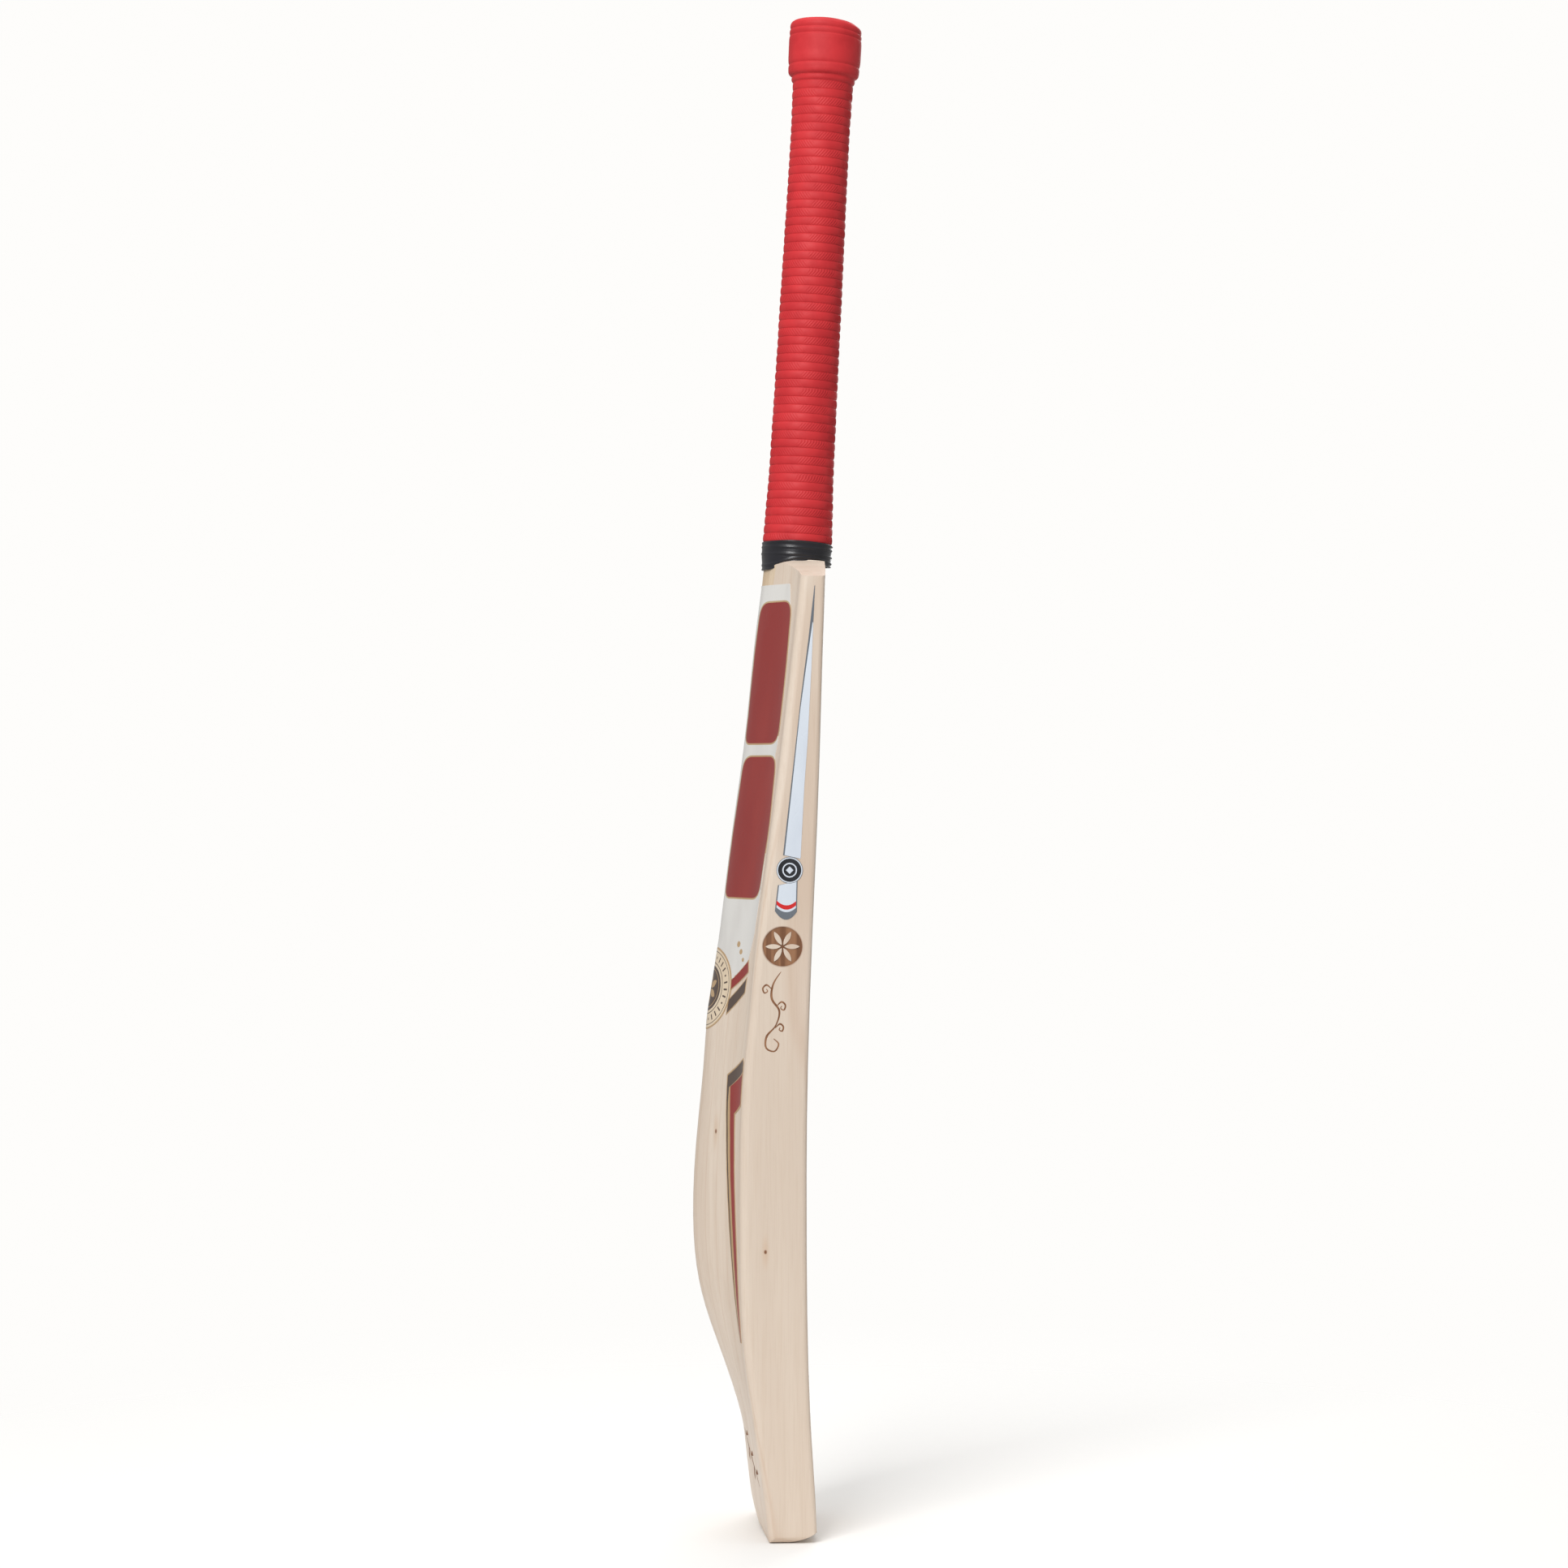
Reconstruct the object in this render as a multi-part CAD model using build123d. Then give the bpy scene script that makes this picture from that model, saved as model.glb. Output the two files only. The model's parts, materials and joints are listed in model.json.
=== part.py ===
"""Cricket bat, short-handle size: a willow blade with a laminated cane handle spliced into it.

Frame, in millimetres: the bat stands upright on its toe. +Z runs up to the handle's end, -Y is the
hitting face, +Y the ridged back, and the bat is a mirror image of itself across X = 0.
"""

from build123d import *
from math import cos, pi, sin, tau
import os

# --- Blade -------------------------------------------------------------------------------------
HALF_WIDTH = [(0, 53.3), (70, 53.8), (200, 53.9), (330, 53.8), (545, 52.0)]
# Face line at the two edges: bowed, so that toe and shoulders stand forward of the middle.
FACE_Y = [(0, -18.1), (24, -17.0), (69, -14.2), (119, -12.6), (198, -12.1), (257, -12.7), (326, -14.9),
          (395, -18.0), (465, -20.3), (539, -22.6)]
EDGE_THICKNESS = [(0, 26.9), (24, 28.3), (69, 32.0), (109, 35.8), (148, 37.1), (237, 36.5), (297, 33.0),
                  (361, 28.5), (425, 22.6), (484, 17.4), (539, 13.3)]
# The back's middle line: a flat toe, the swell, then a long fall to the handle.
SPINE_Y = [(0, 10.2), (8, 12.5), (19, 15.1), (46, 18.3), (61, 20.3), (81, 25.9), (104, 34.0), (128, 42.1),
           (152, 46.7), (176, 48.1), (205, 47.3), (243, 44.0), (294, 38.9), (344, 32.2), (405, 24.1),
           (466, 16.5), (541, 9.1)]
SECTION_Z = [-3, 4, 11, 22, 36, 50, 62, 75, 89, 103, 117, 134, 152, 172, 197, 228, 265, 310, 360, 410, 460,
             505, 552]
FACE_CROWN = 2.0
FACE_CORNER_R = 2.4
BACK_CORNER_R = 4.6
# How far the back stays level beside the spine and beside the edge, as shares of the half breadth.
RIDGE_CREST = 0.20
RIDGE_FLANK = 0.31

SHOULDER_EDGE_Z = 533.8
SHOULDER_NECK_Z = 543.9
SHOULDER_NECK_X = 19.5
BLADE_TOP_Z = 548.0
# The blade's top is arched from face to back, and the collar sits astride it.
SADDLE_R = 60.0
SADDLE_Y = -14.5
SADDLE_Z = 544.3
TOE_FLAT_BACK_Y = 7.2
TOE_FLAT_FRONT_Y = 1.0
TOE_ROUND_R = 34.0
TOE_BACK_R = 3.0
TOE_CORNER_R = 4.0
TOE_CORNER_X = 49.4

# --- Splice ------------------------------------------------------------------------------------
SPLICE_LENGTH = 160.0
SPLICE_HALF_TOP = 16.4
SPLICE_HALF_TIP = 2.6

# --- Handle, along its own axis from the shoulder ----------------------------------------------
HANDLE_TILT = 3.2
HANDLE_FOOT_Y = -10.0
HANDLE_FOOT_Z = 540.5
HANDLE_END = 306.4
# Height along the axis, half breadth across the bat, half depth from face to back.
HANDLE_FORM = [(0, 15.9, 16.6), (30, 15.4, 16.2), (81, 14.7, 15.2), (162, 14.3, 14.5), (248, 13.8, 13.8),
               (267, 13.9, 13.9), (280, 15.6, 15.6), (HANDLE_END, 15.6, 15.6)]
INSERT_THICKNESS = 1.2
INSERT_CENTRES = [-8.2, 0.0, 8.2]
CANE_SPLIT_X = 5.2
HANDLE_REACH = 60.0

TWINE_THICKNESS = 0.7
TWINE_START = 16.2
GRIP_THICKNESS = 2.2
GRIP_START = 15.2
GRIP_HEAD_START = 278.1
GRIP_HEAD_R = 20.7
GRIP_HEAD_EDGE_R = 3.0
GRIP_LIP_TOP = 308.7
GRIP_MOUTH_R = 13.15
CAP_CLEARANCE = 0.15
CAP_WALL_TOP = 308.2
CAP_CROWN = 309.9

COLLAR_START = -4.0
COLLAR_END = 15.0
COLLAR_THICKNESS = 3.3

# --- Stickers and burnt marks ------------------------------------------------------------------
STICKER_THICKNESS = 0.22
LABEL_TOP_Z = 531.6
LABEL_WIDE_Z = 435.0
LABEL_CORNER_Z = 322.4
LABEL_POINT_Z = 307.0
LABEL_HALF_TOP = 37.5
LABEL_HALF_WIDE = 42.0
EMBLEM_Z = 303.9
EMBLEM_R = 23.0
EMBLEM_GAP = 0.4
CHEVRON_OUTER_X = 41.0
CHEVRON_INNER_X = 20.5
CHEVRON_DROP = 13.0
CHEVRON_BARS_Z = [(320.6, 6.4), (310.8, 7.6)]

STRIPE_TOP_Z = 265.9
STRIPE_END_Z = 109.3
STRIPE_OUTER_X = 48.6
STRIPE_BLOCK_END_Z = 238.6
STRIPE_INNER = [(253.4, 29.6), (222.5, 30.8), (178.0, 34.6), (133.6, 38.6), (STRIPE_END_Z, 42.6)]
STRIPE_OUTER = [(STRIPE_END_Z, 44.0), (133.6, 46.6), (178.0, 41.4), (222.5, 38.6), (232.0, 38.6)]

# Edge sticker: how far the middle line lies from the face, as a share of the edge, and half its width.
EDGE_LABEL_TIP = (527.9, 0.36)
EDGE_LABEL_WEDGE = [(494.3, 0.43, 1.1), (448.8, 0.48, 2.5), (378.6, 0.50, 4.7)]
EDGE_LABEL_TUBE = [(367.8, 0.50, 4.9), (348.0, 0.50, 5.3)]
EDGE_LABEL_END_Z = 344.0
EDGE_BADGE = (371.7, 0.50, 7.1)

MARK_DEPTH = 0.35
MARK_Z = 329.2
MARK_EDGE_SHARE = 0.53
MARK_R = 10.9
PETALS = 6
PETAL_LENGTH = 8.6
PETAL_BEND_R = 6.2
OUTSIDE = 80.0


def smooth(stations, at):
    """Value at a height from (height, value) stations, on a cubic that passes through each of them."""
    last = len(stations) - 1
    k = min(max(sum(z <= at for z, _ in stations) - 1, 0), last - 1)

    def slope(i):
        low, high = max(i - 1, 0), min(i + 1, last)
        return (stations[high][1] - stations[low][1]) / (stations[high][0] - stations[low][0])

    (z0, v0), (z1, v1) = stations[k], stations[k + 1]
    span = z1 - z0
    t = (at - z0) / span
    if t < 0 or t > 1:
        end, value, grade = (z0, v0, slope(k)) if t < 0 else (z1, v1, slope(k + 1))
        return value + (at - end) * grade
    return (v0 * (1 + 2 * t) * (1 - t) ** 2 + v1 * (3 - 2 * t) * t * t
            + span * (slope(k) * t * (1 - t) ** 2 - slope(k + 1) * (1 - t) * t * t))


def edge_y(z, share):
    """Y of a place on the blade's edge, as a share of its thickness counted from the face."""
    return smooth(FACE_Y, z) + share * smooth(EDGE_THICKNESS, z)


def corner(centre_x, centre_y, radius, start, end):
    """Quarter arc about a corner's centre, between two angles in quarter turns."""
    angles = [start * pi / 2, (start + end) * pi / 4, end * pi / 2]
    return ThreePointArc(*[(centre_x + radius * cos(a), centre_y + radius * sin(a)) for a in angles])


def blade_section(z, grow):
    """The blade's outline at one height, every side moved outwards by grow."""
    half = smooth(HALF_WIDTH, z) + grow
    face = smooth(FACE_Y, z) - grow
    back = edge_y(z, 1) + grow
    spine = max(smooth(SPINE_Y, z) + grow, back + 0.02)
    front_r, back_r = FACE_CORNER_R + grow, BACK_CORNER_R + grow
    flat = half - back_r
    flank = [(flat, back), ((1 - RIDGE_FLANK) * flat, back), (RIDGE_CREST * flat, spine), (0, spine)]
    edges = [
        ThreePointArc((front_r - half, face), (0, face - FACE_CROWN), (half - front_r, face)),
        corner(half - front_r, face + front_r, front_r, -1, 0),
        Line((half, face + front_r), (half, back - back_r)),
        corner(half - back_r, back - back_r, back_r, 0, 1),
        Bezier(*flank),
        Bezier(*[(-x, y) for x, y in reversed(flank)]),
        corner(back_r - half, back - back_r, back_r, 1, 2),
        Line((-half, back - back_r), (-half, face + front_r)),
        corner(front_r - half, face + front_r, front_r, 2, 3),
    ]
    return Location((0, 0, z)) * make_face(edges)


def blade_form(grow=0.0):
    """The blade's full form before it is trimmed, or a skin's worth larger."""
    return loft([blade_section(z, grow) for z in SECTION_Z])


def seen_from_front(edges, near=-OUTSIDE, far=OUTSIDE):
    """Prism along Y from an outline drawn in X and Z."""
    outline = Plane.XZ * make_face(edges)
    return Pos(0, near, 0) * extrude(outline, amount=far - near, dir=(0, 1, 0))


def seen_from_side(edges, near=-OUTSIDE, far=OUTSIDE):
    """Prism along X from an outline drawn in Y and Z."""
    outline = Plane.YZ * make_face(edges)
    return Pos(near, 0, 0) * extrude(outline, amount=far - near, dir=(1, 0, 0))


def front_outline():
    """What the blade keeps when seen from the front: rounded toe corners and sloping shoulders."""
    arc_x = TOE_CORNER_X + TOE_CORNER_R
    slope = (SHOULDER_NECK_Z - SHOULDER_EDGE_Z) / (smooth(HALF_WIDTH, SHOULDER_EDGE_Z) - SHOULDER_NECK_X)
    outer_z = SHOULDER_NECK_Z - slope * (OUTSIDE - SHOULDER_NECK_X)
    right = [
        corner(TOE_CORNER_X, TOE_CORNER_R, TOE_CORNER_R, -1, 0),
        Polyline((arc_x, TOE_CORNER_R), (OUTSIDE, TOE_CORNER_R), (OUTSIDE, outer_z),
                 (SHOULDER_NECK_X, SHOULDER_NECK_Z), (SPLICE_HALF_TOP, BLADE_TOP_Z), (0, BLADE_TOP_Z)),
        Line((0, 0), (TOE_CORNER_X, 0)),
    ]
    left = [mirror(edge, about=Plane.YZ) for edge in right]
    return seen_from_front(right + left)


def side_outline():
    """What the blade keeps when seen from the side: a rounded toe and an arched top."""
    rise = OUTSIDE / 2
    face_arc_y = TOE_FLAT_FRONT_Y - TOE_ROUND_R * sin(pi / 4)
    face_arc_z = TOE_ROUND_R * (1 - cos(pi / 4))
    middle_y = TOE_FLAT_FRONT_Y - TOE_ROUND_R * sin(pi / 8)
    middle_z = TOE_ROUND_R * (1 - cos(pi / 8))
    reach = SADDLE_R * sin(pi / 4)
    low = SADDLE_Z - SADDLE_R + reach
    return seen_from_side([
        Line((TOE_FLAT_BACK_Y, 0), (TOE_FLAT_FRONT_Y, 0)),
        ThreePointArc((TOE_FLAT_FRONT_Y, 0), (middle_y, middle_z), (face_arc_y, face_arc_z)),
        Polyline((face_arc_y, face_arc_z), (-OUTSIDE, face_arc_z + rise), (-OUTSIDE, low),
                 (SADDLE_Y - reach, low)),
        ThreePointArc((SADDLE_Y - reach, low), (SADDLE_Y, SADDLE_Z), (SADDLE_Y + reach, low)),
        Polyline((SADDLE_Y + reach, low), (OUTSIDE, low), (OUTSIDE, TOE_BACK_R),
                 (TOE_FLAT_BACK_Y + TOE_BACK_R, TOE_BACK_R)),
        corner(TOE_FLAT_BACK_Y, TOE_BACK_R, TOE_BACK_R, -1, 0),
    ])


def splice_wedge():
    """The V that the handle's foot fills in the blade."""
    top, tip = BLADE_TOP_Z, BLADE_TOP_Z - SPLICE_LENGTH
    right = [(SPLICE_HALF_TIP, tip), (SPLICE_HALF_TOP, top)]
    left = [(-SPLICE_HALF_TOP, top), (-SPLICE_HALF_TIP, tip)]
    return seen_from_front([Polyline(*left, *right, close=True)])


def on_handle(shape):
    """Moves a shape from the handle's own axis to its place on the bat."""
    return Location((0, HANDLE_FOOT_Y, HANDLE_FOOT_Z), (HANDLE_TILT, 0, 0)) * shape


def handle_form(grow, start, end):
    """The handle's rod between two heights, grown all round by the layers that lie over it."""
    def size_at(s):
        for (s0, x0, y0), (s1, x1, y1) in zip(HANDLE_FORM, HANDLE_FORM[1:]):
            if s <= s1 or s1 == HANDLE_END:
                t = (s - s0) / (s1 - s0)
                return s, x0 + t * (x1 - x0), y0 + t * (y1 - y0)

    between = [station for station in HANDLE_FORM if start < station[0] < end]
    stations = [size_at(start), *between, size_at(end)]
    return loft([Location((0, 0, s)) * Ellipse(rx + grow, ry + grow) for s, rx, ry in stations], ruled=True)


def handle_cell(x_range, y_range):
    """Box along the handle's axis that holds one lamination."""
    (x0, x1), (y0, y1) = x_range, y_range
    length = HANDLE_END + SPLICE_LENGTH + HANDLE_REACH
    middle = ((x0 + x1) / 2, (y0 + y1) / 2, HANDLE_END - length / 2)
    return on_handle(Location(middle) * Box(x1 - x0, y1 - y0, length))


def laminations(handle):
    """The handle sawn into its twelve canes and the three inserts between their layers."""
    half = INSERT_THICKNESS / 2
    walls = [y + side * half for y in INSERT_CENTRES for side in (-1, 1)]
    layer_limits = [-HANDLE_REACH, *walls, HANDLE_REACH]
    columns = {
        "left": (-HANDLE_REACH, -CANE_SPLIT_X),
        "middle": (-CANE_SPLIT_X, CANE_SPLIT_X),
        "right": (CANE_SPLIT_X, HANDLE_REACH),
    }
    parts = {}
    for i, layer in enumerate(["front", "inner_front", "inner_back", "back"]):
        depth = (layer_limits[2 * i], layer_limits[2 * i + 1])
        for side, breadth in columns.items():
            parts[f"cane_{layer}_{side}"] = handle & handle_cell(breadth, depth)
    for i, place in enumerate(["front", "middle", "back"]):
        depth = (layer_limits[2 * i + 1], layer_limits[2 * i + 2])
        parts[f"rubber_insert_{place}"] = handle & handle_cell((-HANDLE_REACH, HANDLE_REACH), depth)
    return parts


def twine_binding():
    """Waxed thread whipped round the canes, as one thin sleeve."""
    outer = handle_form(TWINE_THICKNESS, TWINE_START, HANDLE_END)
    return on_handle(outer - handle_form(0, TWINE_START, HANDLE_END))


def grip():
    """Rubber sleeve rolled over the binding, with a thick plain band round its open top."""
    stem = handle_form(TWINE_THICKNESS + GRIP_THICKNESS, GRIP_START, GRIP_HEAD_START)
    head = Pos(0, 0, GRIP_HEAD_START) * extrude(Circle(GRIP_HEAD_R), amount=GRIP_LIP_TOP - GRIP_HEAD_START)
    head = fillet(head.edges().group_by(Axis.Z)[-1], GRIP_HEAD_EDGE_R)
    mouth = Pos(0, 0, HANDLE_END) * extrude(Circle(GRIP_MOUTH_R), amount=HANDLE_REACH)
    inside = handle_form(TWINE_THICKNESS, GRIP_START, HANDLE_END)
    return on_handle(stem + head - inside - mouth)


def end_cap():
    """Domed disc that closes the handle's end inside the grip's mouth."""
    radius = GRIP_MOUTH_R - CAP_CLEARANCE
    rise = CAP_CROWN - CAP_WALL_TOP
    dome_r = (radius ** 2 + rise ** 2) / (2 * rise)
    half = radius / 2
    half_z = CAP_CROWN - dome_r + (dome_r ** 2 - half ** 2) ** 0.5
    profile = [
        Polyline((0, CAP_CROWN), (0, HANDLE_END), (radius, HANDLE_END), (radius, CAP_WALL_TOP)),
        ThreePointArc((radius, CAP_WALL_TOP), (half, half_z), (0, CAP_CROWN)),
    ]
    return on_handle(revolve(Plane.XZ * make_face(profile), axis=Axis.Z))


def shoulder_collar(handle):
    """Rubber band round the handle's foot, its lower rim astride the blade's arched top."""
    sleeve = on_handle(handle_form(COLLAR_THICKNESS, COLLAR_START, COLLAR_END))
    saddle = Location((0, SADDLE_Y, SADDLE_Z - SADDLE_R), (0, 90, 0)) * Cylinder(SADDLE_R, 2 * OUTSIDE)
    ring = sleeve - saddle - handle
    return max(ring.solids(), key=lambda solid: solid.volume)


def both_sides(outline):
    """Closed outline of an (x, z) path and its mirror image, joined across the middle."""
    return [Polyline(*outline, *[(-x, z) for x, z in reversed(outline)], close=True)]


def back_sticker(skin, edges):
    return skin & seen_from_front(edges, near=0)


def back_label(skin):
    """Large printed panel on the upper back, its lower end cut round the emblem."""
    outline = [(LABEL_HALF_TOP, LABEL_TOP_Z), (LABEL_HALF_WIDE, LABEL_WIDE_Z),
               (LABEL_HALF_WIDE, LABEL_CORNER_Z), (CHEVRON_INNER_X, LABEL_POINT_Z)]
    hole = seen_from_front([CenterArc((0, EMBLEM_Z), EMBLEM_R + EMBLEM_GAP, 0, 360)])
    return back_sticker(skin, both_sides(outline)) - hole


def back_emblem(skin):
    return back_sticker(skin, [CenterArc((0, EMBLEM_Z), EMBLEM_R, 0, 360)])


def back_chevrons(skin):
    """Two slanting bars each side of the emblem."""
    bars = []
    for top, depth in CHEVRON_BARS_Z:
        for side in (1, -1):
            inner, outer = side * (CHEVRON_INNER_X + 3.2), side * CHEVRON_OUTER_X
            low = top - CHEVRON_DROP
            corners = [(outer, top - 1), (inner, low), (inner, low - depth + 1), (outer, top - depth)]
            bars.append(back_sticker(skin, [Polyline(*corners, close=True)]))
    return Compound(children=[bar.solid() for bar in bars])


def lower_stripe(skin, side):
    """Long tapering stripe beside one edge, from below the emblem to the end of the swell."""
    block = [(STRIPE_OUTER_X, STRIPE_TOP_Z), (STRIPE_OUTER_X, STRIPE_BLOCK_END_Z)]
    inner = Spline(*[(side * x, z) for z, x in STRIPE_INNER])
    outer = Spline(*[(side * x, z) for z, x in STRIPE_OUTER])
    tip = Line(inner @ 1, outer @ 0)
    top = Polyline(outer @ 1, *[(side * x, z) for x, z in reversed(block)], inner @ 0)
    return back_sticker(skin, [inner, tip, outer, top])


def edge_sticker(skin, side):
    """Tapering sticker on one edge: a long blade shape above a round badge and a short tube."""
    def places(stations, sign):
        return [(edge_y(z, share) + sign * half, z) for z, share, half in stations]

    tip = (edge_y(EDGE_LABEL_TIP[0], EDGE_LABEL_TIP[1]), EDGE_LABEL_TIP[0])
    shape = EDGE_LABEL_WEDGE + EDGE_LABEL_TUBE
    foot = (edge_y(EDGE_LABEL_END_Z, shape[-1][1]), EDGE_LABEL_END_Z)
    front, back = places(shape, -1), places(shape, 1)
    strip = make_face([Polyline(back[-1], *reversed(back[:-1]), tip, *front),
                       ThreePointArc(front[-1], foot, back[-1])])
    badge_z, badge_share, badge_r = EDGE_BADGE
    outline = strip + Pos(edge_y(badge_z, badge_share), badge_z) * Circle(badge_r)
    prism = extrude(Plane.YZ * outline, amount=OUTSIDE, dir=(side, 0, 0))
    return skin & prism


def burnt_mark(side):
    """Tool that engraves one edge: a shallow disc with six petals left standing."""
    deep = smooth(HALF_WIDTH, MARK_Z) - MARK_DEPTH
    middle = edge_y(MARK_Z, MARK_EDGE_SHARE)
    lens_r = (PETAL_BEND_R ** 2 + (PETAL_LENGTH / 2) ** 2) ** 0.5
    lens = Pos(PETAL_BEND_R, 0) * Circle(lens_r) & Pos(-PETAL_BEND_R, 0) * Circle(lens_r)
    disc = Pos(middle, MARK_Z) * Circle(MARK_R)
    for i in range(PETALS):
        turn = i * tau / PETALS
        reach = PETAL_LENGTH / 2 + 0.9
        place = (middle + reach * cos(turn), MARK_Z + reach * sin(turn))
        disc -= Location((*place, 0), (0, 0, turn * 180 / pi - 90)) * lens
    return Pos(side * deep, 0, 0) * extrude(Plane.YZ * disc, amount=OUTSIDE, dir=(side, 0, 0))


def bat():
    form = blade_form()
    skin = blade_form(STICKER_THICKNESS) - form
    body = form & front_outline() & side_outline()
    wedge = splice_wedge()
    blade = body - wedge
    for side in (1, -1):
        blade -= burnt_mark(side)
    foot = body & wedge
    handle = (on_handle(handle_form(0, 0, HANDLE_END)) - body) + foot
    parts = {"blade": blade, **laminations(handle)}
    parts["twine_binding"] = twine_binding()
    parts["grip"] = grip()
    parts["shoulder_collar"] = shoulder_collar(handle)
    parts["end_cap"] = end_cap()
    parts["back_label"] = back_label(skin)
    parts["back_emblem"] = back_emblem(skin)
    parts["back_chevrons"] = back_chevrons(skin)
    for name, side in (("left", -1), ("right", 1)):
        parts[f"lower_stripe_{name}"] = lower_stripe(skin, side)
        parts[f"edge_sticker_{name}"] = edge_sticker(skin, side)
    return parts


os.makedirs("parts", exist_ok=True)
for node, shape in bat().items():
    export_step(shape, f"parts/{node}.step")
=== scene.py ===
import json
import math
import random

import bpy
import numpy as np
from mathutils import Matrix, Vector
from mathutils.bvhtree import BVHTree
from mathutils.geometry import delaunay_2d_cdt


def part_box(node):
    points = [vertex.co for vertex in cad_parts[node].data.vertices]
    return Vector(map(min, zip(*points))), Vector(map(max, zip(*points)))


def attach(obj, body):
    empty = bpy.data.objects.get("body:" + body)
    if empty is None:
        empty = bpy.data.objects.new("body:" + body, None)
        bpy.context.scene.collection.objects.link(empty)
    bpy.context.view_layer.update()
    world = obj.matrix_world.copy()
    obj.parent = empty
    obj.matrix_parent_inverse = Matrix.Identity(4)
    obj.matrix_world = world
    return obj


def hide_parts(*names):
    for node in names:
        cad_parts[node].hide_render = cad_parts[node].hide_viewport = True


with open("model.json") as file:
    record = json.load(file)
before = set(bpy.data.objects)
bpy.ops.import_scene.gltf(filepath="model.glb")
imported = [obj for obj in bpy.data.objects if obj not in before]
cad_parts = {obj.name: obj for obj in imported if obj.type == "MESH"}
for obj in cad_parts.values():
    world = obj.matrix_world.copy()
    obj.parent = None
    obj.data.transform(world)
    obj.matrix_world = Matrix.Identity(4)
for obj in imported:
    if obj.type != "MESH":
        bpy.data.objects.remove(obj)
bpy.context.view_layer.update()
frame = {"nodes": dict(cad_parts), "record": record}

MM = 0.001
TAU = 2 * math.pi

# The handle's own axis comes from the record: heights along it are in millimetres from its foot.
HAND = next(m for m in frame["record"]["mounts"] if m["name"] == "hand_grip")
AXIS = Vector(HAND["axis"]).normalized()
HAND_HEIGHT = 150.0
# The sleeve, collar and cap are drawn for a slightly slimmer handle and grown to this one.
HANDLE_SCALE = 1.0113
FOOT = Vector(HAND["pos_m"]) - AXIS * HAND_HEIGHT * MM
HANDLE = Matrix.Translation(FOOT) @ Matrix.Rotation(math.atan2(-AXIS.y, AXIS.z), 4, "X")
HANDLE = HANDLE @ Matrix.Scale(HANDLE_SCALE, 4)
EDGE_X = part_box("blade")[1].x / MM


# --- Materials ---------------------------------------------------------------------------------

def colour(red, green, blue):
    """Linear colour, with alpha, from an 8-bit sRGB one."""
    def linear(value):
        value /= 255
        return value / 12.92 if value <= 0.04045 else ((value + 0.055) / 1.055) ** 2.4

    return (linear(red), linear(green), linear(blue), 1.0)


class Surface:
    """A principled material and short ways to add nodes to it."""

    def __init__(self, name, roughness=0.5, specular=0.5, coat=0.0, coat_roughness=0.1):
        self.material = bpy.data.materials.new(name)
        self.material.use_nodes = True
        self.tree = self.material.node_tree
        self.shader = self.tree.nodes["Principled BSDF"]
        self.shader.inputs["Roughness"].default_value = roughness
        self.shader.inputs["Specular IOR Level"].default_value = specular
        self.shader.inputs["Coat Weight"].default_value = coat
        self.shader.inputs["Coat Roughness"].default_value = coat_roughness
        self.place = self.node("ShaderNodeTexCoord").outputs["Object"]

    def node(self, kind, inputs=(), **settings):
        made = self.tree.nodes.new(kind)
        for key, value in settings.items():
            setattr(made, key, value)
        for key, value in dict(inputs).items():
            if isinstance(value, bpy.types.NodeSocket):
                self.tree.links.new(value, made.inputs[key])
            else:
                made.inputs[key].default_value = value
        return made

    def maths(self, operation, *values):
        return self.node("ShaderNodeMath", dict(enumerate(values)), operation=operation).outputs[0]

    def scaled(self, x, y, z):
        """Place on the object, in metres, times a scale for each axis."""
        mapping = self.node("ShaderNodeMapping", {"Vector": self.place, "Scale": (x, y, z)})
        return mapping.outputs[0]

    def noise(self, vector, scale=1.0, detail=3.0, roughness=0.55, distortion=0.0):
        values = {"Vector": vector, "Scale": scale, "Detail": detail, "Roughness": roughness,
                  "Distortion": distortion}
        return self.node("ShaderNodeTexNoise", values).outputs["Fac"]

    def step(self, value, low, high, start=0.0, end=1.0):
        """Smooth change from start to end as value goes from low to high."""
        values = {"Value": value, "From Min": low, "From Max": high, "To Min": start, "To Max": end}
        made = self.node("ShaderNodeMapRange", values, interpolation_type="SMOOTHSTEP")
        return made.outputs[0]

    def mix(self, factor, first, second):
        values = {"Fac": factor, "Color1": first, "Color2": second}
        return self.node("ShaderNodeMixRGB", values).outputs[0]

    def bump(self, height, distance, strength):
        values = {"Height": height, "Distance": distance, "Strength": strength}
        return self.node("ShaderNodeBump", values).outputs[0]

    def set(self, name, value):
        self.tree.links.new(value, self.shader.inputs[name])

    def axes(self):
        return self.node("ShaderNodeSeparateXYZ", {0: self.place}).outputs

    def distance(self, centre, stretch=(1, 1, 1)):
        """Distance from a point, in metres, with each axis stretched."""
        away = self.node("ShaderNodeVectorMath", {0: self.place, 1: centre}, operation="SUBTRACT").outputs[0]
        away = self.node("ShaderNodeVectorMath", {0: away, 1: stretch}, operation="MULTIPLY").outputs[0]
        return self.node("ShaderNodeVectorMath", {0: away}, operation="LENGTH").outputs["Value"]


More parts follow.
